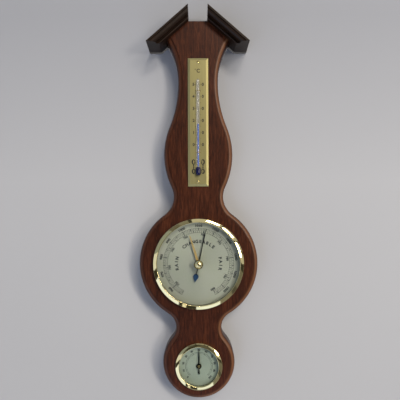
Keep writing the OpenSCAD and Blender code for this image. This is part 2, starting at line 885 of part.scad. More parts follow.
module thermometer_tube() {
    color([0.85, 0.9, 0.92, 0.5]) at_tube() rotate_extrude() difference() {
        vial_section(tube_r, bulb_r, -bulb_bottom, bulb_top, tube_top);
        vial_section(bore_r, bulb_r - bulb_wall, bulb_wall - bulb_bottom, bulb_top - bulb_wall,
            tube_top - tube_cap);
    }
}

module spirit_column() {
    wall = bulb_wall + spirit_gap;
    color([0.12, 0.16, 0.65]) at_tube() rotate_extrude()
        vial_section(bore_r - spirit_gap, bulb_r - wall, wall - bulb_bottom, bulb_top - wall, column_top);
}

module thermometer_clips() {
    color("khaki") for (z = [-1, 1]) translate([0, -tube_z, z * clip_reach - thermo_drop]) {
        rotate_extrude(angle = 180, start = 180) translate([clip_bend_r, 0]) circle(r = clip_wire_r);
        for (x = [-1, 1]) translate([x * clip_bend_r, 0, 0]) rotate([-90, 0, 0])
            cylinder(r = clip_wire_r, h = tube_z - board_t + clip_leg);
    }
}

module thermometer_pins() {
    color("gold") at_drop(thermo_drop) at_plate_pins() {
        translate([0, 0, plate_front]) dome(plate_pin_head_r, plate_pin_head_h);
        bar(plate_pin_r, plate_front - plate_pin_l, plate_front);
    }
}

// Open cup in a hole of the board: its flange lies on the rebate
module cup(r, flange_r, z_in, z_flange) {
    ring(r, r - case_wall, z_in, z_flange + case_wall);
    ring(flange_r, r - case_wall, z_flange, z_flange + case_wall);
    bar(r, z_in - case_wall, z_in);
}

module barometer_case() {
    color("dimgray") at_drop(dial_drop) difference() {
        cup(case_r, dial_r, case_in, rebate_z);
        case_screw_holes();
        around(base_screw_reach, base_screw_turns)
            bar(base_screw_r + hole_room, case_back - past, case_in + past);
        translate([foot_screw_x, 0, 0]) bar(adjust_hole_r, case_back - past, case_in + past);
        translate([0, -vent_reach, 0]) bar(vent_r, case_back - past, case_in + past);
    }
}

module case_screws() {
    color("gray") at_drop(dial_drop) around(flange_screw_r, flange_screw_turns)
        flat_screw(case_screw_head_r, case_screw_r, case_screw_l, dial_back);
}

module barometer_dial() {
    color([0.72, 0.72, 0.63]) at_drop(dial_drop) ring(dial_r, dial_hole_r, dial_back, dial_front);
}

module spacer_ring() {
    color("silver") at_drop(dial_drop) ring(dial_r, dial_r - spacer_w, dial_front, glass_back);
}

module barometer_glass() {
    color([0.85, 0.92, 0.9, 0.3]) at_drop(dial_drop)
        ring(dial_r, shaft_r + run_gap, glass_back, glass_front);
}

// Pressed ring that stands on the board, slopes up inwards and turns down to the glass
module bezel(r_out, r_in, round_r, wall, glass_r, z_glass) {
    z_lip = z_glass + seat_gap;
    mid_r = r_out - round_r * sin(bezel_lean);
    mid_z = z_lip + bezel_rise - sqrt(round_r * round_r - pow(r_in - mid_r, 2));
    nose_r = r_in + bezel_nose - mid_r;
    nose_z = mid_z + sqrt(pow(round_r - bezel_nose, 2) - nose_r * nose_r);
    edge_r = r_out - bezel_edge - mid_r;
    edge_z = mid_z + sqrt(pow(round_r - bezel_edge, 2) - edge_r * edge_r);
    slope_in = nose_r * round_r / (round_r - bezel_nose);
    slope_out = edge_r * round_r / (round_r - bezel_edge);
    rotate_extrude() difference() {
        union() {
            intersection() {
                difference() {
                    translate([mid_r, mid_z]) circle(r = round_r);
                    translate([mid_r, mid_z]) circle(r = round_r - wall);
                }
                translate([mid_r + slope_in, mid_z]) square([slope_out - slope_in, round_r + past]);
            }
            translate([mid_r + nose_r, nose_z]) circle(r = bezel_nose);
            translate([mid_r + edge_r, edge_z]) circle(r = bezel_edge);
            translate([r_in, z_lip]) square([wall, nose_z - z_lip]);
            translate([r_out - wall, board_t]) square([wall, edge_z - board_t]);
        }
        translate([0, board_t - past]) square([glass_r + glass_room, z_lip - board_t + past]);
    }
}

// Pins soldered into a bezel's edge, driven into the board
module prongs(r_out, grow) {
    around(r_out - bezel_wall / 2, prong_turns)
        bar(prong_r + grow, board_t - prong_l - grow, board_t + (grow > 0 ? past : bezel_wall));
}

module barometer_bezel() {
    color([0.85, 0.68, 0.3]) at_drop(dial_drop) {
        bezel(bezel_r, bezel_in_r, bezel_round, bezel_wall, dial_r, glass_front);
        prongs(bezel_r, 0);
    }
}

module base_hole(r) {
    bar(r, case_in - past, base_top + past);
}

module base_plate() {
    color("darkkhaki") at_drop(dial_drop) difference() {
        bar(base_r, case_in, base_top);
        around(base_screw_reach, base_screw_turns) base_hole(base_screw_r + seat_gap);
        base_hole(capsule_stud_r + seat_gap);
        translate([foot_screw_x, 0, 0]) base_hole(adjust_r + run_gap);
        for (y = [-1, 1]) {
            translate([foot_screw_x, y * foot_screw_y, 0]) base_hole(small_screw_r + seat_gap);
            translate([0, y * pillar_reach, 0]) base_hole(pillar_foot_r + seat_gap);
        }
        translate([bracket_screw_x, 0, 0]) base_hole(small_screw_r + seat_gap);
    }
}

module base_screws() {
    color("gray") at_drop(dial_drop) around(base_screw_reach, base_screw_turns) translate([0, 0, case_back])
        mirror([0, 0, 1])
            head_screw(base_screw_head_r, base_screw_head_h, base_screw_r, base_top - case_back, 0);
}

// Two corrugated discs joined at the rim, with a stud behind and a post in front
module aneroid_capsule() {
    steps = 8 * capsule_waves;
    mid = (capsule_bottom + capsule_top) / 2;
    first_r = post_r + capsule_boss_w;
    front_face = [for (i = [0:steps]) let (u = i / steps) [
        first_r + (capsule_r - first_r) * u,
        capsule_top - capsule_wave_h * (1 - cos(360 * capsule_waves * u))
    ]];
    back_face = [for (i = [steps:-1:0]) [front_face[i][0], 2 * mid - front_face[i][1]]];
    rim = capsule_r + capsule_rim_w;
    rim_front = mid + capsule_rim_t / 2;
    rim_back = mid - capsule_rim_t / 2;
    color("silver") at_drop(dial_drop) difference() {
        union() {
            rotate_extrude() polygon(concat(
                [[0, capsule_top]], front_face,
                [[capsule_r, rim_front], [rim, rim_front], [rim, rim_back], [capsule_r, rim_back]],
                back_face, [[0, capsule_bottom]]
            ));
            bar(post_r, capsule_top - past, post_top);
            bar(capsule_foot_r, base_top, capsule_bottom + past);
            bar(capsule_stud_r, case_in, base_top + past);
        }
        translate([0, 0, leaf_top + cross_pin_r]) rotate([90, 0, 0])
            cylinder(r = cross_pin_r + seat_gap, h = 4 * post_r, center = true);
    }
}

module capsule_pin() {
    color("gray") at_drop(dial_drop) translate([0, 0, leaf_top + cross_pin_r]) rotate([90, 0, 0])
        cylinder(r = cross_pin_r, h = cross_pin_l, center = true);
}

module mainspring() {
    color("steelblue") at_drop(dial_drop) difference() {
        union() {
            translate([bend_x, -leaf_w / 2, leaf_z]) cube([leaf_end - bend_x, leaf_w, leaf_t]);
            translate([bend_x, -leaf_w / 2, base_top]) cube([foot_end - bend_x, leaf_w, leaf_t]);
            translate([bend_x, leaf_w / 2, bend_z]) rotate([90, 0, 0])
                rotate_extrude_half(bend_r, leaf_t, leaf_w);
        }
        bar(post_r + clear_gap, leaf_z - past, leaf_top + past);
        for (y = [-1, 1]) {
            translate([foot_screw_x, y * foot_screw_y, 0])
                bar(small_screw_r + seat_gap, base_top - past, base_top + leaf_t + past);
            translate([rivet_x, y * rivet_y, 0])
                bar(rivet_r + seat_gap, leaf_z - past, leaf_top + past);
        }
    }
}

// Half a tube of the given outer radius, wall and length, open to +X
module rotate_extrude_half(r, wall, length) {
    rotate_extrude(angle = 180, start = 90) translate([r - wall, 0]) square([wall, length]);
}

module mainspring_screws() {
    color("gray") at_drop(dial_drop) for (y = [-1, 1]) translate([foot_screw_x, y * foot_screw_y, 0])
        small_screw(leaf_t + base_t, base_top + leaf_t);
}

module main_lever() {
    ear_x = link_x - lever_ear_l / 2;
    tip_x = ear_x + lever_ear_l;
    far_y = lever_ear_y + lever_ear_t;
    near_y = far_y - lever_tip_w;
    shoulder_x = leaf_end - 1;
    color("goldenrod") at_drop(dial_drop) {
        translate([0, 0, leaf_top]) linear_extrude(lever_t) polygon([
            [lever_start, -lever_w / 2], [shoulder_x, -lever_w / 2], [ear_x, near_y], [tip_x, near_y],
            [tip_x, far_y], [ear_x - lever_ear_l, far_y], [shoulder_x, lever_w / 2],
            [lever_start, lever_w / 2]
        ]);
        translate([ear_x, lever_ear_y, lever_pin_z - lever_ear_l / 2])
            cube([lever_ear_l, lever_ear_t, leaf_top + lever_t / 2 - lever_pin_z + lever_ear_l / 2]);
        translate([link_x, lever_ear_y + lever_ear_t / 2, lever_pin_z]) rotate([-90, 0, 0])
            cylinder(r = link_pin_r, h = lever_ear_t / 2 + link_t + 2 * clear_gap);
        for (y = [-1, 1]) translate([rivet_x, y * rivet_y, 0]) {
            bar(rivet_r, leaf_z, leaf_top + lever_t);
            bar(rivet_r + rivet_head_w, leaf_top + lever_t / 2, leaf_top + lever_t + rivet_head_h);
        }
    }
}

module link() {
    color("darkgoldenrod") at_drop(dial_drop) translate([link_x, link_y + link_t, 0]) rotate([90, 0, 0])
        difference() {
            union() {
                translate([0, rocker_z, 0]) cylinder(r = link_eye_r, h = link_t);
                translate([0, lever_pin_z, 0]) cylinder(r = link_eye_r, h = link_t);
                translate([-link_w / 2, rocker_z, 0]) cube([link_w, lever_pin_z - rocker_z, link_t]);
            }
            translate([0, rocker_z, -past])
                cylinder(r = link_pin_r + link_play, h = link_t + 2 * past);
            translate([0, lever_pin_z, -past]) cylinder(r = link_pin_r + run_gap, h = link_t + 2 * past);
        }
}

// Round bar along the rocker's axis, between two distances above the dial's centre line
module cross_bar(r, y0, y1) {
    translate([0, y0, 0]) rotate([-90, 0, 0]) cylinder(r = r, h = y1 - y0);
}

module rocker_shaft() {
    shaft_end = ear_y - clear_gap;
    arm_y = chain_y - arm_t / 2;
    color("gold") at_drop(dial_drop) translate([rocker_reach, 0, rocker_z]) {
        cross_bar(rocker_r, -shaft_end, shaft_end);
        cross_bar(pivot_r, -ear_y - ear_t, ear_y + ear_t);
        cross_bar(rocker_r + collar_w, short_arm_y, short_arm_y + arm_t);
        translate([-short_arm, short_arm_y, -link_w / 2]) cube([short_arm, arm_t, link_w]);
        translate([-short_arm, 0, 0]) {
            cross_bar(arm_eye_r, short_arm_y, short_arm_y + arm_t);
            cross_bar(link_pin_r, link_y - clear_gap, short_arm_y + arm_t / 2);
        }
        cross_bar(rocker_r + collar_w, arm_y, arm_y + arm_t);
        translate([-arm_w / 2, arm_y, 0]) cube([arm_w, arm_t, chain_z - rocker_z + chain_w]);
    }
}

module rocker_bracket() {
    color("darkkhaki") at_drop(dial_drop) difference() {
        union() {
            translate([rocker_reach - ear_half_w, -ear_y - ear_t, base_top])
                cube([
                    bracket_screw_x + bracket_end - rocker_reach + ear_half_w,
                    2 * (ear_y + ear_t), bracket_t
                ]);
            for (y = [-ear_y - ear_t, ear_y]) translate([rocker_reach - ear_half_w, y, base_top])
                cube([2 * ear_half_w, ear_t, rocker_h + ear_half_w]);
        }
        translate([rocker_reach, 0, rocker_z])
            cross_bar(pivot_r + run_gap, -ear_y - ear_t - past, ear_y + ear_t + past);
        translate([bracket_screw_x, 0, 0])
            bar(small_screw_r + seat_gap, base_top - past, base_top + bracket_t + past);
        translate([rocker_reach - ear_half_w - past, link_y - clear_gap, base_top - past])
            cube([
                ear_half_w + bracket_slot + past, short_arm_y + arm_t - link_y + 2 * clear_gap,
                bracket_t + 2 * past
            ]);
    }
}

module bracket_screw() {
    color("gray") at_drop(dial_drop) translate([bracket_screw_x, 0, 0])
        small_screw(bracket_t + base_t, base_top + bracket_t);
}

module bridge_pillars() {
    color("darkkhaki") at_drop(dial_drop) for (y = [-1, 1]) translate([0, y * pillar_reach, 0])
        difference() {
            union() {
                bar(pillar_r, base_top, bridge_z);
                bar(pillar_foot_r, case_in, base_top + past);
            }
            bar(small_screw_r + seat_gap, bridge_z - bridge_screw_l, bridge_z + past);
        }
}

module lower_bridge() {
    half_l = pillar_reach + pillar_r + bridge_end;
    color("khaki") at_drop(dial_drop) difference() {
        translate([-bridge_w / 2, -half_l, bridge_z]) cube([bridge_w, 2 * half_l, leaf_t]);
        bar(arbor_r + run_gap, bridge_z - past, bridge_top + past);
        for (y = [-pillar_reach, pillar_reach, -cock_reach, cock_reach]) translate([0, y, 0])
            bar(small_screw_r + seat_gap, bridge_z - past, bridge_top + past);
    }
}

module cock_posts() {
    color("gold") at_drop(dial_drop) for (y = [-1, 1]) translate([0, y * cock_reach, 0])
        ring(cock_post_r, small_screw_r + seat_gap, bridge_top, cock_z);
}

module upper_bridge() {
    half_l = cock_reach + cock_end;
    color("khaki") at_drop(dial_drop) {
        difference() {
            translate([-bridge_w / 2, -half_l, cock_z]) cube([bridge_w, 2 * half_l, leaf_t]);
            bar(arbor_r + run_gap, cock_z - past, cock_top + past);
            for (y = [-1, 1]) translate([0, y * cock_reach, 0])
                bar(small_screw_r + seat_gap, cock_z - past, cock_top + past);
        }
        translate([0, hair_r + hair_w + hair_stud_r + solder_gap, 0])
            bar(hair_stud_r, hair_z, cock_z);
    }
}

module bridge_screws() {
    color("gray") at_drop(dial_drop) for (y = [-1, 1]) translate([0, y * pillar_reach, 0])
        small_screw(bridge_screw_l, bridge_top);
}

module cock_screws() {
    color("gray") at_drop(dial_drop) for (y = [-1, 1]) translate([0, y * cock_reach, 0])
        small_screw(cock_h + 2 * leaf_t, cock_top);
}

module arbor() {
    color("gold") at_drop(dial_drop) {
        bar(arbor_r, bridge_z - arbor_end, arbor_top);
        bar(drum_r, drum_z - flange_t, drum_top + flange_t);
        bar(collet_r, drum_z - flange_t, drum_z);
        bar(collet_r, drum_top, cock_z - clear_gap);
    }
}

module hairspring() {
    color("steelblue") at_drop(dial_drop) translate([0, 0, hair_z]) linear_extrude(hair_h)
        polygon(spiral(collet_r + solder_gap, hair_r, hair_turns, hair_w));
}

// Fine chain from the rocker's long arm to the drum
module chain() {
    chain_l = rocker_reach - arm_w / 2 - solder_gap;
    color("gray") at_drop(dial_drop) translate([0, chain_y, chain_z]) {
        translate([0, -chain_w / 4, -chain_w / 4]) cube([chain_l, chain_w / 2, chain_w / 2]);
        for (x = [chain_pitch / 2:chain_pitch:chain_l - chain_pitch / 2])
            translate([x - chain_link_l / 2, -chain_w / 2, -chain_w / 2])
                cube([chain_link_l, chain_w, chain_w]);
    }
}

module pointer_outline() {
    leaf_y = leaf_rise - pointer_tail;
    touch = acos(leaf_r / leaf_rise);
    neck_y = pointer_l * pointer_neck_at;
    blade_y = pointer_l * pointer_blade_at;
    polygon([
        [-pointer_root_w, 0], [-pointer_neck_w, neck_y], [-pointer_blade_w, blade_y], [0, pointer_l],
        [pointer_blade_w, blade_y], [pointer_neck_w, neck_y], [pointer_root_w, 0]
    ]);
    translate([-pointer_neck_w, leaf_y]) square([2 * pointer_neck_w, -leaf_y]);
    translate([0, leaf_y]) circle(r = leaf_r);
    polygon([
        [-leaf_r * sin(touch), leaf_y - leaf_r * cos(touch)], [0, -pointer_tail],
        [leaf_r * sin(touch), leaf_y - leaf_r * cos(touch)]
    ]);
    circle(r = pointer_eye_r);
}

module pointer() {
    color([0.1, 0.12, 0.2]) at_drop(dial_drop) rotate([0, 0, -pointer_angle]) difference() {
        union() {
            translate([0, 0, pointer_z]) linear_extrude(hand_t) pointer_outline();
            bar(pointer_boss_r, pointer_z - pointer_boss_h, pointer_z + hand_t);
        }
        bar(arbor_r + hand_fit, pointer_z - past, pointer_z + past);
    }
}

module adjusting_screw() {
    color("gold") at_drop(dial_drop) translate([foot_screw_x, 0, case_in - adjust_sink]) mirror([0, 0, 1])
        head_screw(adjust_head_r, adjust_head_h, adjust_r, base_t + adjust_sink - clear_gap, 0);
}

module set_hand() {
    color([0.72, 0.55, 0.25]) at_drop(dial_drop) rotate([0, 0, -set_angle]) difference() {
        union() {
            translate([0, 0, set_hand_z]) linear_extrude(hand_t) {
                polygon([
                    [-set_root_w, 0], [-set_tip_w, set_l - set_tip_l], [0, set_l],
                    [set_tip_w, set_l - set_tip_l], [set_root_w, 0]
                ]);
                circle(r = set_boss_r + set_eye_w);
            }
            bar(set_boss_r, set_boss_z, set_hand_z + hand_t);
        }
        bar(shaft_r - set_stem_w + seat_gap, set_boss_z - past, glass_back);
    }
}

module set_knob() {
    neck_z = glass_front + washer_t;
    rim_z = neck_z + knob_neck_h;
    dome_z = rim_z + knob_rim_h;
    color([0.85, 0.7, 0.35]) at_drop(dial_drop) {
        bar(shaft_r, glass_back - stem_sink, neck_z + past);
        bar(shaft_r - set_stem_w, set_boss_z, glass_back);
        bar(knob_neck_r, neck_z, rim_z);
        bar(knob_r, rim_z, dome_z);
        translate([0, 0, dome_z]) dome(knob_r - knob_edge, glass_front + knob_h - dome_z);
    }
}

module knob_washer() {
    color("khaki") at_drop(dial_drop)
        ring(washer_r, shaft_r + hole_room, glass_front, glass_front + washer_t - washer_gap);
}

module hygrometer_case() {
    color("dimgray") at_drop(hygro_drop) difference() {
        cup(hygro_case_r, hygro_dial_r, hygro_case_in, hygro_rebate_z);
        hygro_screw_holes();
        around(hygro_vent_reach, hygro_vent_turns)
            bar(vent_r, hygro_case_in - case_wall - past, hygro_case_in + past);
    }
}

module hygrometer_screws() {
    color("gray") at_drop(hygro_drop) around(hygro_screw_r, hygro_screw_turns)
        flat_screw(hygro_screw_head_r, hygro_screw_shank_r, hygro_screw_l, hygro_dial_back);
}

module hygrometer_dial() {
    color([0.68, 0.72, 0.64]) at_drop(hygro_drop)
        ring(hygro_dial_r, hygro_hole_r, hygro_dial_back, hygro_dial_front);
}

module hygrometer_ring() {
    color("silver") at_drop(hygro_drop)
        ring(hygro_dial_r, hygro_in_r + hygro_ring_inset, hygro_dial_front, hygro_glass_back);
}

module hygrometer_glass() {
    color([0.85, 0.92, 0.9, 0.3]) at_drop(hygro_drop) bar(hygro_dial_r, hygro_glass_back, hygro_glass_front);
}

module hygrometer_bezel() {
    color([0.85, 0.68, 0.3]) at_drop(hygro_drop) {
        bezel(hygro_bezel_r, hygro_in_r, hygro_round, bezel_wall, hygro_dial_r, hygro_glass_front);
        prongs(hygro_bezel_r, 0);
    }
}

module hygrometer_bush() {
    color("gold") at_drop(hygro_drop) difference() {
        bar(bush_r, hygro_case_in, hygro_case_in + bush_h);
        bar(needle_arbor_r + run_gap, hygro_case_in + bush_floor, hygro_case_in + bush_h + past);
    }
}

module coil_stud() {
    color("gold") at_drop(hygro_drop) translate([0, coil_r + coil_w + coil_stud_r + solder_gap, 0])
        bar(coil_stud_r, hygro_case_in, coil_z + coil_h);
}

module hygrometer_posts() {
    color("darkkhaki") at_drop(hygro_drop) for (x = [-1, 1]) translate([x * hygro_post_reach, 0, 0])
        difference() {
            bar(hygro_post_r, hygro_case_in, hygro_bridge_z);
            bar(small_screw_r + seat_gap, hygro_bridge_z - hygro_bridge_screw_l, hygro_bridge_z + past);
        }
}

module hygrometer_bridge() {
    half_l = hygro_post_reach + hygro_bridge_end;
    color("khaki") at_drop(hygro_drop) difference() {
        translate([-half_l, -bridge_w / 2, hygro_bridge_z]) cube([2 * half_l, bridge_w, leaf_t]);
        bar(needle_arbor_r + run_gap, hygro_bridge_z - past, hygro_bridge_top + past);
        for (x = [-1, 1]) translate([x * hygro_post_reach, 0, 0])
            bar(small_screw_r + seat_gap, hygro_bridge_z - past, hygro_bridge_top + past);
    }
}

module hygrometer_bridge_screws() {
    color("gray") at_drop(hygro_drop) for (x = [-1, 1]) translate([x * hygro_post_reach, 0, 0])
        small_screw(hygro_bridge_screw_l, hygro_bridge_top);
}

module hygrometer_arbor() {
    color("silver") at_drop(hygro_drop) {
        bar(needle_arbor_r, hygro_case_in + needle_end, needle_z);
        bar(coil_collet_r, coil_z - coil_collet_over, coil_z + coil_h + coil_collet_over);
        bar(needle_cap_r, needle_z - needle_cap_h, needle_z + hand_t + needle_cap_h);
    }
}

module humidity_coil() {
    color("peru") at_drop(hygro_drop) translate([0, 0, coil_z]) linear_extrude(coil_h)
        polygon(spiral(coil_collet_r + solder_gap, coil_r, coil_turns, coil_w));
}

module hygrometer_needle() {
    blade_y = needle_l * needle_blade_at;
    color([0.08, 0.1, 0.12]) at_drop(hygro_drop) difference() {
        union() {
            bar(needle_ring_r, needle_z, needle_z + hand_t);
            translate([0, 0, needle_z]) linear_extrude(hand_t) polygon([
                [-needle_tail_w, -needle_tail], [-needle_neck_w, 0], [-needle_blade_w, blade_y],
                [-needle_tip_w, needle_l - needle_tip_l], [0, needle_l],
                [needle_tip_w, needle_l - needle_tip_l], [needle_blade_w, blade_y],
                [needle_neck_w, 0], [needle_tail_w, -needle_tail]
            ]);
        }
        bar(needle_cap_r + hand_fit, needle_z - past, needle_z + past);
    }
}

backboard();
cornice_left();
cornice_right();
cornice_pins();
hanger_plate();
hanger_screws();
thermometer_plate();
thermometer_tube();
spirit_column();
thermometer_clips();
thermometer_pins();
barometer_case();
case_screws();
barometer_dial();
spacer_ring();
barometer_glass();
barometer_bezel();
base_plate();
base_screws();
aneroid_capsule();
capsule_pin();
mainspring();
mainspring_screws();
main_lever();
link();
rocker_shaft();
rocker_bracket();
bracket_screw();
bridge_pillars();
lower_bridge();
cock_posts();
upper_bridge();
bridge_screws();
cock_screws();
arbor();
hairspring();
chain();
pointer();
adjusting_screw();
set_hand();
set_knob();
knob_washer();
hygrometer_case();
hygrometer_screws();
hygrometer_dial();
hygrometer_ring();
hygrometer_glass();
hygrometer_bezel();
hygrometer_bush();
coil_stud();
hygrometer_posts();
hygrometer_bridge();
hygrometer_bridge_screws();
hygrometer_arbor();
humidity_coil();
hygrometer_needle();
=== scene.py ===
import math
import bmesh
import bpy
from mathutils import Matrix, Vector


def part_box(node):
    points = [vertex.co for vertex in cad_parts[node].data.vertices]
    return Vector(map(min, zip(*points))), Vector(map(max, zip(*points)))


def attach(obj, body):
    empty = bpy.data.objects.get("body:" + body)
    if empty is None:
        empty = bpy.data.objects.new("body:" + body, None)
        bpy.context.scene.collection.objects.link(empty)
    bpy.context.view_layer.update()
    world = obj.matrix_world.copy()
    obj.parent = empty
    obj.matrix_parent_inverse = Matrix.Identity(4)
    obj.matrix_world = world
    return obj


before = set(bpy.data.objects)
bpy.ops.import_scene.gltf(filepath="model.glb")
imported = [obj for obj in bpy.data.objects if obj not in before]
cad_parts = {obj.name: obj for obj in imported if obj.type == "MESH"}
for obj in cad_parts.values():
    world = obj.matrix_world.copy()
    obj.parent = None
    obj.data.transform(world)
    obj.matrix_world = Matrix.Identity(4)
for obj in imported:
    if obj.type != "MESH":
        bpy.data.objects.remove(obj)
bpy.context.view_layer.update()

MM = 0.001
# Heights of the middles of both dials and of the thermometer's plate, and of the top of its bulb
BAROMETER_Z = -0.2705
HYGROMETER_Z = -0.3931
THERMOMETER_Z = -0.1012
BULB_TOP = THERMOMETER_Z - 0.053
# The pointer's angle at rest, and the angle of the cornice strips, in degrees
POINTER_ANGLE = 12
PITCH = 41.1


# Finishes

def srgb(r, g, b):
    """Linear colour of an sRGB colour from 0 to 255."""
    def channel(c):
        c /= 255
        return c / 12.92 if c <= 0.04045 else ((c + 0.055) / 1.055) ** 2.4
    return (channel(r), channel(g), channel(b), 1)


class Nodes:
    """Node tree of one new material, or of the world."""

    def __init__(self, name=None, world=None):
        self.owner = world or bpy.data.materials.new(name)
        self.owner.use_nodes = True
        self.tree = self.owner.node_tree
        self.tree.nodes.clear()
        self.output = self.add("ShaderNodeOutputWorld" if world else "ShaderNodeOutputMaterial")

    def add(self, kind, inputs=None, **settings):
        node = self.tree.nodes.new(kind)
        for key, value in settings.items():
            setattr(node, key, value)
        for key, value in (inputs or {}).items():
            self.put(node.inputs[key], value)
        return node

    def put(self, socket, value):
        if isinstance(value, bpy.types.NodeSocket):
            self.tree.links.new(value, socket)
        else:
            socket.default_value = value

    def math(self, operation, *values):
        node = self.add("ShaderNodeMath", operation=operation)
        for i, value in enumerate(values):
            self.put(node.inputs[i], value)
        return node.outputs[0]

    def vector(self, operation, *values):
        node = self.add("ShaderNodeVectorMath", operation=operation)
        for i, value in enumerate(values):
            self.put(node.inputs[i], value)
        return node

    def place(self):
        return self.add("ShaderNodeTexCoord").outputs["Object"]

    def axis(self, letter, place=None):
        place = self.place() if place is None else place
        return self.add("ShaderNodeSeparateXYZ", {"Vector": place}).outputs[letter]

    def stretched(self, place, scale):
        return self.add("ShaderNodeMapping", {"Vector": place, "Scale": scale}).outputs[0]

    def noise(self, place, scale, detail=3, rough=0.5, distortion=0):
        return self.add("ShaderNodeTexNoise", {
            "Vector": place, "Scale": scale, "Detail": detail, "Roughness": rough,
            "Distortion": distortion}).outputs["Fac"]

    def ramp(self, factor, stops, steps=False):
        node = self.add("ShaderNodeValToRGB", {"Fac": factor})
        elements = node.color_ramp.elements
        node.color_ramp.interpolation = "CONSTANT" if steps else "LINEAR"
        while len(elements) < len(stops):
            elements.new(0.5)
        for element, (position, colour) in zip(elements, stops):
            element.position = position
            element.color = colour if isinstance(colour, tuple) else (colour, colour, colour, 1)
        return node.outputs[0]

    def mix(self, factor, a, b, blend="MIX"):
        node = self.add("ShaderNodeMix", data_type="RGBA", blend_type=blend)
        for socket, value in ((node.inputs[0], factor), (node.inputs[6], a), (node.inputs[7], b)):
            self.put(socket, value)
        return node.outputs[2]

    def span(self, value, low, high, to_low, to_high):
        return self.add("ShaderNodeMapRange", {
            "Value": value, "From Min": low, "From Max": high, "To Min": to_low,
            "To Max": to_high}).outputs[0]

    def bump(self, height, distance, strength=1.0):
        return self.add("ShaderNodeBump", {
            "Height": height, "Distance": distance, "Strength": strength}).outputs[0]

    def surface(self, shader):
        self.put(self.output.inputs["Surface"], shader.outputs[0])
        return self.owner

    def shader(self, **inputs):
        return self.add("ShaderNodeBsdfPrincipled", {
            key.replace("_", " "): value for key, value in inputs.items()})

    def principled(self, **inputs):
        return self.surface(self.shader(**inputs))

    def partly_clear(self, share, shader, colour=(1, 1, 1, 1)):
        """The shader where share is 0, and nothing but colour held before the light where it is 1."""
        clear = self.add("ShaderNodeBsdfTransparent", {"Color": colour})
        return self.surface(self.add("ShaderNodeMixShader", {
            0: share, 1: shader.outputs[0], 2: clear.outputs[0]}))

    def clear_to_light(self, shader, colour):
        """Glass that lamplight and scattered light pass straight through, so it makes no grain."""
        path = self.add("ShaderNodeLightPath").outputs
        return self.partly_clear(
            self.math("MAXIMUM", path["Is Shadow Ray"], path["Is Diffuse Ray"]), shader, colour)


def times(colour, factor):
    return tuple(c * factor for c in colour[:3]) + (1,)


# Depths between which the board's moulded edge lies
EDGE_FRONT = -0.0245
EDGE_BACK = -0.0145
# Colour of the painted highlight along the board's moulded edge
EDGE_HIGHLIGHT = srgb(158, 108, 72)


def wood(name, tones, tilt=0.0, painted_edge_light=False):
    """Lacquered wood with its grain along Z, or leaning by tilt about the depth axis, optionally with a
    painted highlight and painted shade on the board's moulded edge.
    """
    n = Nodes(name)
    along = n.add("ShaderNodeVectorRotate", {"Vector": n.place(), "Axis": (0, 1, 0), "Angle": tilt})
    along = along.outputs[0]
    sway = n.noise(n.stretched(along, (14, 14, 5)), 1, 2)
    drift = n.add("ShaderNodeVectorMath", {
        0: (1, 0.3, 0), "Scale": n.math("MULTIPLY", sway, 0.006)}, operation="SCALE").outputs[0]
    wavy = n.vector("ADD", along, drift).outputs[0]
    figure = n.noise(n.stretched(wavy, (70, 50, 8)), 1, 3, 0.55)
    streaks = n.noise(n.stretched(wavy, (640, 460, 60)), 1, 4, 0.62)
    flecks = n.span(n.noise(n.stretched(wavy, (1100, 800, 120)), 1, 2, 0.5), 0.56, 0.68, 0, 1)
    pores = n.noise(n.stretched(wavy, (1900, 1500, 150)), 1, 2, 0.5)
    pore = n.span(pores, 0.60, 0.72, 0, 1)
    body = n.math("ADD", n.math("MULTIPLY", figure, 0.42), n.math("MULTIPLY", streaks, 0.6))
    colour = n.ramp(body, [(0.36, tones[0]), (0.52, tones[1]), (0.68, tones[2])])
    colour = n.mix(n.math("MULTIPLY", flecks, 0.5), colour, tones[2])
    colour = n.mix(n.math("MULTIPLY", pore, 0.55), colour, times(tones[0], 0.25))
    # Painted highlight: a lighter band on the rounding of the moulded edge, stronger towards the right side,
    # where the lamps light it
    if painted_edge_light:
        below = n.span(n.axis("Y"), EDGE_FRONT, EDGE_BACK, 0, 1)
        right_side_light = n.span(n.axis("X"), -0.012, 0.012, 0.1, 0.5)
        edge_highlight = n.ramp(below, [(0.05, 0.0), (0.14, 0.15), (0.17, 1.0), (0.26, 0.9), (0.42, 0.0)])
        # Painted shade: darker in the step of the moulded edge and further back on its sides
        outer = n.ramp(below, [(0.06, 0.0), (0.09, 0.75), (0.15, 0.1), (0.34, 0.0), (0.6, 0.55), (1.0, 0.6)])
        colour = n.mix(n.math("MULTIPLY", edge_highlight, right_side_light), colour, EDGE_HIGHLIGHT)
        colour = n.mix(outer, colour, times(tones[0], 0.5))
    height = n.math("SUBTRACT", n.math("MULTIPLY", streaks, 0.5), n.math("MULTIPLY", pore, 0.8))
    rough = n.math("ADD", n.span(streaks, 0.3, 0.7, 0.36, 0.46), n.math("MULTIPLY", pore, 0.15))
    return n.principled(
        Base_Color=colour, Roughness=rough, Specular_IOR_Level=0.22, Coat_Weight=0.1,
        Coat_Roughness=0.2, Normal=n.bump(height, 0.00004, 0.6))


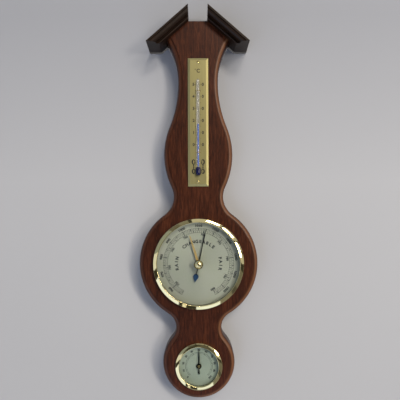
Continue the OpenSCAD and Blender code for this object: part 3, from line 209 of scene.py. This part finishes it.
def brushed(name, colour, tint, centre_z):
    """Metal dial brushed in circles round the height centre_z, with clouds of tint."""
    n = Nodes(name)
    offset = n.vector("SUBTRACT", n.place(), (0, 0, centre_z)).outputs[0]
    flat = n.vector("MULTIPLY", offset, (1, 0, 1)).outputs[0]
    radius = n.vector("LENGTH", flat).outputs["Value"]
    line = n.add("ShaderNodeCombineXYZ", {"X": n.math("MULTIPLY", radius, 9000)}).outputs[0]
    circles = n.noise(line, 1, 3, 0.6)
    clouds = n.noise(n.place(), 45, 3)
    base = n.mix(n.span(clouds, 0.35, 0.65, 0, 0.5), colour, tint)
    base = n.mix(n.span(circles, 0.3, 0.7, 0, 0.16), base, (0.9, 0.9, 0.86, 1), "MULTIPLY")
    tangent = n.vector("CROSS_PRODUCT", flat, (0, 1, 0)).outputs[0]
    return n.principled(
        Base_Color=base, Metallic=0.3, Roughness=n.span(circles, 0.2, 0.8, 0.45, 0.57),
        Anisotropic=0.3, Tangent=n.vector("NORMALIZE", tangent).outputs[0],
        Normal=n.bump(circles, 0.00001, 0.35))


def metal(name, colour, dull, rough, spot=500, wear=0.3, stretch=(1, 1, 1), metallic=1.0):
    """Metal with faint blotches, from colour to dull, and fine marks in its gloss."""
    n = Nodes(name)
    place = n.stretched(n.place(), stretch)
    blotches = n.noise(place, spot * 0.25, 4, 0.6)
    marks = n.noise(place, spot * 5, 3, 0.65)
    base = n.mix(n.span(blotches, 0.42, 0.72, 0, wear), colour, dull)
    return n.principled(
        Base_Color=base, Metallic=metallic, Roughness=n.span(marks, 0.3, 0.75, rough * 0.75, rough * 1.35),
        Normal=n.bump(marks, 0.000004, 0.4))


def glass(name, colour, ior, rough, filled_colour=None):
    """Glass with a trace of dust in its gloss, opaque in filled_colour where spirit fills a whole bulb."""
    n = Nodes(name)
    dust = n.noise(n.place(), 260, 4, 0.6)
    clearness = 1.0
    if filled_colour:
        filled = n.span(n.axis("Z"), BULB_TOP - 0.001, BULB_TOP + 0.0002, 1, 0)
        colour = n.mix(filled, colour, filled_colour)
        clearness = n.math("SUBTRACT", 1, filled)
    shader = n.shader(
        Base_Color=colour, Transmission_Weight=clearness, IOR=ior,
        Roughness=n.span(dust, 0.45, 0.8, rough, rough + 0.03))
    return n.clear_to_light(shader, colour)


def blued_pointer():
    """Blued steel: nearly black along the blade, blue on the leaf of the tail."""
    n = Nodes("blued_steel")
    turn = math.radians(POINTER_ANGLE)
    offset = n.vector("SUBTRACT", n.place(), (0, 0, BAROMETER_Z)).outputs[0]
    along = n.vector("DOT_PRODUCT", offset, (math.sin(turn), 0, math.cos(turn))).outputs["Value"]
    tail = n.span(along, -0.0145, -0.012, 1, 0)
    mottle = n.noise(n.place(), 900, 3)
    blade = n.mix(mottle, srgb(14, 16, 22), srgb(30, 34, 44))
    leaf = n.mix(mottle, srgb(36, 68, 108), srgb(60, 94, 136))
    return n.principled(
        Base_Color=n.mix(tail, blade, leaf), Metallic=0.6, Roughness=n.span(mottle, 0.3, 0.7, 0.28, 0.4),
        Normal=n.bump(mottle, 0.000004, 0.4))


def ink(name, colour):
    n = Nodes(name)
    grain = n.noise(n.place(), 4000, 2)
    return n.principled(
        Base_Color=n.mix(grain, colour, times(colour, 1.7)), Roughness=0.55,
        Normal=n.bump(grain, 0.000003, 0.3))


def spirit():
    """Dyed spirit: dark where it is thick, in the bulb, and clear blue in the thin column."""
    n = Nodes("blue_spirit")
    swirl = n.noise(n.place(), 700, 2)
    bulb = n.span(n.axis("Z"), BULB_TOP - 0.0005, BULB_TOP + 0.0005, 1, 0)
    column = n.mix(swirl, srgb(40, 88, 186), srgb(54, 106, 204))
    return n.principled(
        Base_Color=n.mix(bulb, column, srgb(10, 10, 72)), Roughness=0.35, IOR=1.36)


LEAN = math.radians(90 - PITCH)
DARK_TONES = (srgb(22, 13, 6), srgb(36, 22, 12), srgb(54, 34, 20))
FINISHES = {
    # The board's mahogany, with a painted highlight and painted shade on its moulded edge
    "mahogany": wood("mahogany", (srgb(44, 18, 8), srgb(68, 31, 14), srgb(98, 50, 26)), painted_edge_light=True),
    "polished_brass": metal("polished_brass", srgb(244, 229, 172), srgb(215, 194, 128), 0.05, 320, 0.25),
    "satin_brass": metal(
        "satin_brass", srgb(176, 166, 114), srgb(156, 143, 92), 0.42, 900, 0.4, stretch=(1, 1, 0.05),
        metallic=0.68),
    "brass": metal("brass", srgb(222, 200, 136), srgb(188, 160, 96), 0.22),
    "silvered": brushed("silvered", srgb(179, 181, 169), srgb(170, 175, 156), BAROMETER_Z),
    "glass": glass("glass", (0.97, 0.985, 0.97, 1), 1.45, 0.0),
    "tube_glass": glass("tube_glass", (0.95, 0.96, 0.97, 1), 1.47, 0.12, srgb(8, 6, 68)),
    "blue_spirit": spirit(),
    "blued_steel": blued_pointer(),
    "blackened_steel": metal("blackened_steel", srgb(18, 18, 20), srgb(34, 33, 33), 0.4),
    "steel": metal("steel", srgb(196, 196, 194), srgb(160, 158, 152), 0.28),
    "dark_steel": metal("dark_steel", srgb(92, 88, 80), srgb(70, 64, 56), 0.42),
    "nickel": metal("nickel", srgb(214, 210, 200), srgb(184, 178, 166), 0.2),
    "coil_paper": metal("coil_paper", srgb(206, 168, 110), srgb(176, 134, 84), 0.5, 900),
}
OWN = {
    "cornice_left": wood("cornice_wood_left", DARK_TONES, -LEAN),
    "cornice_right": wood("cornice_wood_right", DARK_TONES, LEAN),
    "set_hand": metal("gilt", srgb(194, 166, 110), srgb(174, 144, 90), 0.5, metallic=0.5),
    "hygrometer_dial": brushed("silvered_small", srgb(172, 184, 170), srgb(164, 176, 160), HYGROMETER_Z),
}
for node_name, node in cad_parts.items():
    for place in node.material_slots:
        place.material = OWN.get(node_name) or FINISHES[place.material.name]


# Printed scales

PRINT_GAP = 0.02 * MM
# Share of the lettering's size that its capitals take
CAPITALS = 0.72


def front_of(node):
    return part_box(node)[0].y


def put_on_board(name, mesh, material):
    mesh.materials.append(material)
    piece = bpy.data.objects.new(name, mesh)
    bpy.context.scene.collection.objects.link(piece)
    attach(piece, "board")


class Print:
    """Flat print of polygons, drawn in millimetres as seen from the front."""

    def __init__(self):
        self.mesh = bmesh.new()

    def face(self, points):
        self.mesh.faces.new([self.mesh.verts.new((x, 0, z)) for x, z in points])

    def band(self, points, widths):
        """Strip along a line of points, with a width at each."""
        rails = []
        for i, (x, z) in enumerate(points):
            ax, az = points[max(i - 1, 0)]
            bx, bz = points[min(i + 1, len(points) - 1)]
            length = math.hypot(bx - ax, bz - az)
            nx, nz = (az - bz) / length, (bx - ax) / length
            w = widths[i] / 2
            rails.append(((x + nx * w, z + nz * w), (x - nx * w, z - nz * w)))
        for (a, b), (c, d) in zip(rails, rails[1:]):
            self.face([a, b, d, c])

    def arc(self, radius, start, end, width):
        steps = max(2, round(abs(end - start) / 3))
        angles = [math.radians(start + (end - start) * i / steps) for i in range(steps + 1)]
        self.band([(radius * math.sin(a), radius * math.cos(a)) for a in angles], [width] * (steps + 1))

    def tick(self, angle, inner, outer, width):
        a = math.radians(angle)
        self.band([(r * math.sin(a), r * math.cos(a)) for r in (inner, outer)], [width] * 2)

    def text(self, body, size, x, z, angle=0.0, width=1.0, bold=0.07):
        """Centres body on x, z, turned clockwise by angle in degrees."""
        curve = bpy.data.curves.new("lettering", "FONT")
        curve.body, curve.size, curve.resolution_u = body, size / CAPITALS, 3
        curve.align_x, curve.align_y = "CENTER", "CENTER"
        curve.offset = bold * size
        letters = bpy.data.objects.new("lettering", curve)
        bpy.context.scene.collection.objects.link(letters)
        shape = bpy.data.meshes.new_from_object(letters.evaluated_get(bpy.context.evaluated_depsgraph_get()))
        bpy.data.objects.remove(letters)
        a = math.radians(angle)
        spots = []
        for v in shape.vertices:
            u, w = v.co.x * width, v.co.y
            spots.append(self.mesh.verts.new((
                x + u * math.cos(a) + w * math.sin(a), 0, z - u * math.sin(a) + w * math.cos(a))))
        for polygon in shape.polygons:
            self.mesh.faces.new([spots[i] for i in polygon.vertices])
        bpy.data.meshes.remove(shape)

    def around(self, body, size, radius, angle, width=1.0):
        a = math.radians(angle)
        self.text(body, size, radius * math.sin(a), radius * math.cos(a), angle, width)

    def word(self, body, size, radius, angle, pitch):
        """Letters spaced evenly along an arc, pitch degrees apart."""
        for i, letter in enumerate(body):
            self.around(letter, size, radius, angle + (i - (len(body) - 1) / 2) * pitch)

    def finish(self, name, node, z, material):
        """Lays the print on the front of node, with its middle at height z."""
        y = front_of(node) - PRINT_GAP
        mesh = bpy.data.meshes.new(name)
        for v in self.mesh.verts:
            v.co = (v.co.x * MM, y, z + v.co.z * MM)
        bmesh.ops.recalc_face_normals(self.mesh, faces=self.mesh.faces)
        for face in self.mesh.faces:
            if face.normal.y > 0:
                face.normal_flip()
        self.mesh.to_mesh(mesh)
        self.mesh.free()
        put_on_board(name, mesh, material)


DIAL_INK = ink("dial_ink", srgb(34, 38, 42))
PLATE_INK = ink("plate_ink", srgb(32, 27, 17))

# Barometer: half the sweep, degrees for each unit, the hPa at the top and the angle of 720 mmHg
SCALE_END = 152
HPA_ANGLE = 2.66
HPA_TOP = 1010
MMHG_ANGLE = 3.55
MMHG_LOW = 720
MMHG_LOW_ANGLE = -133
# Radii of its three circles, of both rows of numbers and of the words, in millimetres
OUTER, MIDDLE, INNER = 42.4, 39.8, 37.2
HPA_NUMBERS, MMHG_NUMBERS, WORDS = 45.3, 34.9, 26.4
WORD_SIZE = 3.7
# Widths of its circles and of its long and short ticks
CIRCLE_WIDTH, LONG_WIDTH, SHORT_WIDTH = 0.28, 0.9, 0.48


def hpa_angle(hpa):
    return (hpa - HPA_TOP) * HPA_ANGLE


def mmhg_angle(mmhg):
    return (mmhg - MMHG_LOW) * MMHG_ANGLE + MMHG_LOW_ANGLE


def pressure_scale():
    p = Print()
    for radius in (OUTER, MIDDLE, INNER):
        p.arc(radius, -SCALE_END, SCALE_END, CIRCLE_WIDTH)
    for hpa in range(953, 1068):
        if abs(hpa_angle(hpa)) < SCALE_END:
            start, width = (MIDDLE, LONG_WIDTH) if hpa % 5 == 0 else (OUTER - 1.9, SHORT_WIDTH)
            p.tick(hpa_angle(hpa), start, OUTER + 0.5 if hpa % 10 == 0 else OUTER, width)
    for mmhg in range(715, 801):
        if abs(mmhg_angle(mmhg)) < SCALE_END:
            end, width = (MIDDLE, LONG_WIDTH) if mmhg % 5 == 0 else (INNER + 1.8, SHORT_WIDTH)
            p.tick(mmhg_angle(mmhg), INNER - 0.5 if mmhg % 10 == 0 else INNER, end, width)
    for hpa in range(960, 1070, 10):
        p.around(str(hpa), 2.8, HPA_NUMBERS, hpa_angle(hpa), 1.15)
    for mmhg in range(720, 810, 10):
        p.around(str(mmhg), 2.5, MMHG_NUMBERS, mmhg_angle(mmhg), 1.1)
    for word, angle, pitch in (("RAIN", -90, 9.5), ("CHANGEABLE", 0, 9.2), ("FAIR", 90, 9.5)):
        p.word(word, WORD_SIZE, WORDS, angle, pitch)
    p.finish("pressure_scale", "barometer_dial", BAROMETER_Z, DIAL_INK)


# Hygrometer: half the sweep in degrees, and the radii of its circles and numbers in millimetres
HUMID_END = 135
HUMID_OUTER, HUMID_INNER, HUMID_NUMBERS = 16.2, 14.6, 18.9


def humid_angle(percent):
    return (percent / 50 - 1) * HUMID_END


def humidity_scale():
    p = Print()
    p.arc(HUMID_OUTER, -HUMID_END, HUMID_END, 0.26)
    p.arc(HUMID_INNER, -HUMID_END, HUMID_END, 0.22)
    for percent in range(0, 101, 2):
        start, width = (HUMID_INNER, 0.42) if percent % 10 == 0 else (HUMID_OUTER - 0.8, 0.26)
        p.tick(humid_angle(percent), start, HUMID_OUTER, width)
    for percent in range(0, 101, 10):
        p.around(str(percent), 2.3, HUMID_NUMBERS, humid_angle(percent))
    p.text("%", 2.6, 0, -9.0)
    p.finish("humidity_scale", "hygrometer_dial", HYGROMETER_Z, DIAL_INK)


# Thermometer: millimetres for each degree, and the height of zero from the middle of the plate
DEGREE = 1.44
ZERO = -27
# Sizes of its digits and of the unit, and the unit's height
DIGIT_SIZE, UNIT_SIZE, UNIT_Z = 3.5, 4.4, 61.2
# Where the curls stand, from the middle of the plate
SCROLL_X, SCROLL_Z = 5.2, -53.2


def scroll(p, side):
    """Pair of open curls beside the bulb, one above the other, joined by a thin tendril."""
    def place(points, widths):
        p.band([(side * (SCROLL_X + u), SCROLL_Z + w) for u, w in points], widths)

    for up, size in ((1, 1.0), (-1, 0.94)):
        line, widths = [], []
        for i in range(41):
            share = i / 40
            a = math.radians(-80 + 400 * share)
            shrink = size * (1 - 0.5 * max(0, share - 0.62) / 0.38)
            line.append((1.75 * shrink * math.sin(a) + 0.15, up * (5.6 - 2.75 * shrink * math.cos(a))))
            widths.append(0.75 + 0.9 * math.sin(math.pi * min(1, share * 1.15)) ** 2)
        place(line, widths)
        place([(0.1 + 0.5 * math.sin(t / 6 * math.pi), up * (0.55 + 2.5 * t / 6)) for t in range(7)],
              [1.5, 1.7, 1.2, 0.8, 0.6, 0.6, 0.7])
    place([(-0.5, 0.9), (0.25, 0.2), (-0.25, -0.5), (0.5, -1.1)], [0.35, 0.45, 0.45, 0.35])


def thermometer_scale():
    p = Print()
    for degree in range(-4, 53):
        z = degree * DEGREE + ZERO
        reach = 3.9 if degree % 10 == 0 else 3.6 if degree % 5 == 0 else 3.2
        for side in (-1, 1):
            p.band([(side * 2.5, z), (side * reach, z)], [0.4 if degree % 5 == 0 else 0.24] * 2)
    for degree in range(0, 51, 10):
        for digit, x in ((str(degree // 10), -5.4), ("0", 5.6)):
            p.text(digit, DIGIT_SIZE, x, degree * DEGREE + ZERO, bold=0.05)
    p.text("°", UNIT_SIZE, -3.1, UNIT_Z, bold=0.0)
    p.text("C", UNIT_SIZE, 0.3, UNIT_Z, bold=0.04)
    for side in (-1, 1):
        scroll(p, side)
    p.finish("thermometer_scale", "thermometer_plate", THERMOMETER_Z, PLATE_INK)


def enamel():
    """White enamel on the back half of the thermometer's tube."""
    n = Nodes("white_enamel")
    mottle = n.noise(n.place(), 1500, 2)
    material = n.principled(
        Base_Color=n.mix(mottle, srgb(158, 150, 126), srgb(172, 164, 140)), Roughness=0.6,
        Normal=n.bump(mottle, 0.000004, 0.3))
    mesh = bmesh.new()
    radius, half, steps = 2.03, 75, 12
    lo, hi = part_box("thermometer_tube")
    axis_y = (lo.y + hi.y) / 2
    rows = []
    for z in (*range(-52, 50), 50.2):
        row = []
        for i in range(steps + 1):
            a = math.radians(-half + 2 * half * i / steps)
            row.append(mesh.verts.new((
                radius * math.sin(a) * MM, axis_y + radius * math.cos(a) * MM, THERMOMETER_Z + z * MM)))
        rows.append(row)
    for low, high in zip(rows, rows[1:]):
        for a, b, c, d in zip(low, low[1:], high[1:], high):
            mesh.faces.new((a, b, c, d))
    data = bpy.data.meshes.new("tube_enamel")
    mesh.to_mesh(data)
    mesh.free()
    for polygon in data.polygons:
        polygon.use_smooth = True
    put_on_board("tube_enamel", data, material)


pressure_scale()
humidity_scale()
thermometer_scale()
enamel()


# Wall, floor, light and camera

WALL_Y = 0.0006
WALL_REACH = 12
FLOOR_Z = -2.2
FLOOR_DEPTH = 0.5
# Heights between which painted shade darkens the wall towards the top
PAINTED_SHADE_LOW, PAINTED_SHADE_HIGH = -0.17, 0.04
# Rays that meet the wall sooner than this pass through it
CLEAR_REACH = 0.006


def plane(name, corners, material):
    mesh = bpy.data.meshes.new(name)
    mesh.from_pydata(corners, [], [range(4)])
    mesh.materials.append(material)
    piece = bpy.data.objects.new(name, mesh)
    bpy.context.scene.collection.objects.link(piece)


def plaster():
    """Pale matt wall, clear from behind and to rays off the object's back, which it would leave unlit."""
    n = Nodes("pale_wall")
    clouds = n.noise(n.place(), 3, 3)
    grit = n.noise(n.place(), 700, 3)
    pale = n.mix(clouds, srgb(199, 199, 202), srgb(205, 205, 207))
    # Painted shade: the wall darker towards the top
    colour = n.mix(n.span(n.axis("Z"), PAINTED_SHADE_LOW, PAINTED_SHADE_HIGH, 0, 1), pale, srgb(178, 179, 184))
    shader = n.shader(Base_Color=colour, Roughness=0.9, Normal=n.bump(grit, 0.0001, 0.2))
    back = n.add("ShaderNodeNewGeometry").outputs["Backfacing"]
    near = n.math("LESS_THAN", n.add("ShaderNodeLightPath").outputs["Ray Length"], CLEAR_REACH)
    return n.partly_clear(n.math("MAXIMUM", back, near), shader)


def floor_finish():
    n = Nodes("pale_floor")
    clouds = n.noise(n.place(), 4, 3)
    return n.principled(Base_Color=n.mix(clouds, srgb(200, 201, 204), srgb(208, 208, 210)), Roughness=0.8)


plane("wall", [
    (-WALL_REACH, WALL_Y, FLOOR_Z), (WALL_REACH, WALL_Y, FLOOR_Z), (WALL_REACH, WALL_Y, WALL_REACH),
    (-WALL_REACH, WALL_Y, WALL_REACH)], plaster())
plane("floor", [
    (-WALL_REACH, -FLOOR_DEPTH, FLOOR_Z), (WALL_REACH, -FLOOR_DEPTH, FLOOR_Z), (WALL_REACH, WALL_Y, FLOOR_Z),
    (-WALL_REACH, WALL_Y, FLOOR_Z)], floor_finish())

# The place that the lamps point at, and their distance, angle off straight ahead, size and strength
CENTRE = Vector((0, -0.03, -0.22))
LAMP_DISTANCE, LAMP_SPREAD = 3.4, 41
LAMP_SIZE = (0.85, 0.5)
LAMP_RADIANCE = 19.5
LAMP_COLOUR = (1.0, 0.92, 0.8)


def soft_box(name, clock):
    """Lamp at clock degrees from the top, its first side across."""
    a, b = math.radians(clock), math.radians(LAMP_SPREAD)
    away = Vector((math.sin(a) * math.sin(b), -math.cos(b), math.cos(a) * math.sin(b)))
    across = Vector((math.cos(a), 0, -math.sin(a)))
    lamp = bpy.data.lights.new(name, "AREA")
    lamp.shape = "RECTANGLE"
    lamp.size, lamp.size_y = LAMP_SIZE
    lamp.energy = LAMP_RADIANCE * math.pi * LAMP_SIZE[0] * LAMP_SIZE[1]
    lamp.color = LAMP_COLOUR
    piece = bpy.data.objects.new(name, lamp)
    turned = Matrix((across, away.cross(across), away)).transposed().to_4x4()
    piece.matrix_world = Matrix.Translation(CENTRE + LAMP_DISTANCE * away) @ turned
    bpy.context.scene.collection.objects.link(piece)


for pane, clock in enumerate((24, 53, 84)):
    soft_box(f"window_pane_{pane + 1}", clock)


def grey(level):
    return (level, level, level, 1)


LOW_WINDOW = (0.95, 1.08, 1.4, 1)
SKY = (0.32, 0.44, 0.68, 1)
SHADE = (0.26, 0.28, 0.32, 1)
GAP = (0.04, 0.04, 0.035, 1)
BEHIND = grey(0.8)
BACKGROUND = (0.62, 0.64, 0.68, 1)

world = bpy.data.worlds.new("room")
bpy.context.scene.world = world
n = Nodes(world=world)
direction = n.add("ShaderNodeTexCoord").outputs["Generated"]
round_about = n.math("ARCTAN2", n.axis("X", direction), n.axis("Z", direction))
turn = n.span(round_about, -math.pi, math.pi, 0, 1)
# What lies slantwise ahead and then what lies beside, from the bottom round by the left, top and right
windows = n.ramp(turn, [
    (0.0, LOW_WINDOW), (0.007, GAP), (0.036, grey(0.9)), (0.047, GAP), (0.0625, LOW_WINDOW),
    (0.165, GAP), (0.198, (0.74, 0.78, 0.9, 1)), (0.255, (0.27, 0.31, 0.36, 1)), (0.363, grey(0.14)),
    (0.41, grey(0.21)), (0.452, GAP), (0.465, grey(0.5)), (0.562, GAP), (0.572, grey(0.42)),
    (0.605, GAP), (0.615, grey(0.48)), (0.69, GAP), (0.702, grey(0.42)), (0.733, GAP),
    (0.745, grey(0.48)), (0.778, GAP), (0.806, grey(0.16)), (0.86, grey(0.08)), (0.885, grey(0.22)),
    (0.93, LOW_WINDOW)], steps=True)
sides = n.ramp(turn, [
    (0.0, SHADE), (0.25, SKY), (0.45, SKY), (0.6, grey(0.5)), (0.8, (0.4, 0.4, 0.38, 1)), (1.0, SHADE)])
patchy = n.noise(direction, 3.4, 2)
dim = n.mix(n.span(patchy, 0.42, 0.58, 0, 1), (0.03, 0.03, 0.025, 1), (0.12, 0.12, 0.11, 1))
ahead = n.math("MULTIPLY", n.axis("Y", direction), -1)
room = n.mix(n.span(ahead, 0.24, 0.32, 0, 1), sides, windows)
room = n.mix(n.span(ahead, 0.84, 0.90, 0, 1), room, dim)
room = n.mix(n.span(ahead, -0.3, -0.05, 1, 0), room, BEHIND)
seen = n.add("ShaderNodeLightPath").outputs["Is Camera Ray"]
n.surface(n.add("ShaderNodeBackground", {"Color": n.mix(seen, room, BACKGROUND), "Strength": 1.0}))

# The camera's place in metres and its roll in degrees
EYE = (0.0019, -0.4728, -0.2002)
ROLL = 0.19
camera = bpy.data.objects.new("camera", bpy.data.cameras.new("camera"))
camera.data.lens = 33.66
camera.data.shift_y = 0.0125
camera.data.clip_start, camera.data.clip_end = 0.01, 20
camera.matrix_world = (
    Matrix.Translation(EYE)
    @ Matrix.Rotation(math.radians(ROLL), 4, "Y") @ Matrix.Rotation(math.radians(90), 4, "X"))
bpy.context.scene.collection.objects.link(camera)
bpy.context.scene.camera = camera
bpy.context.scene.view_settings.view_transform = "Standard"
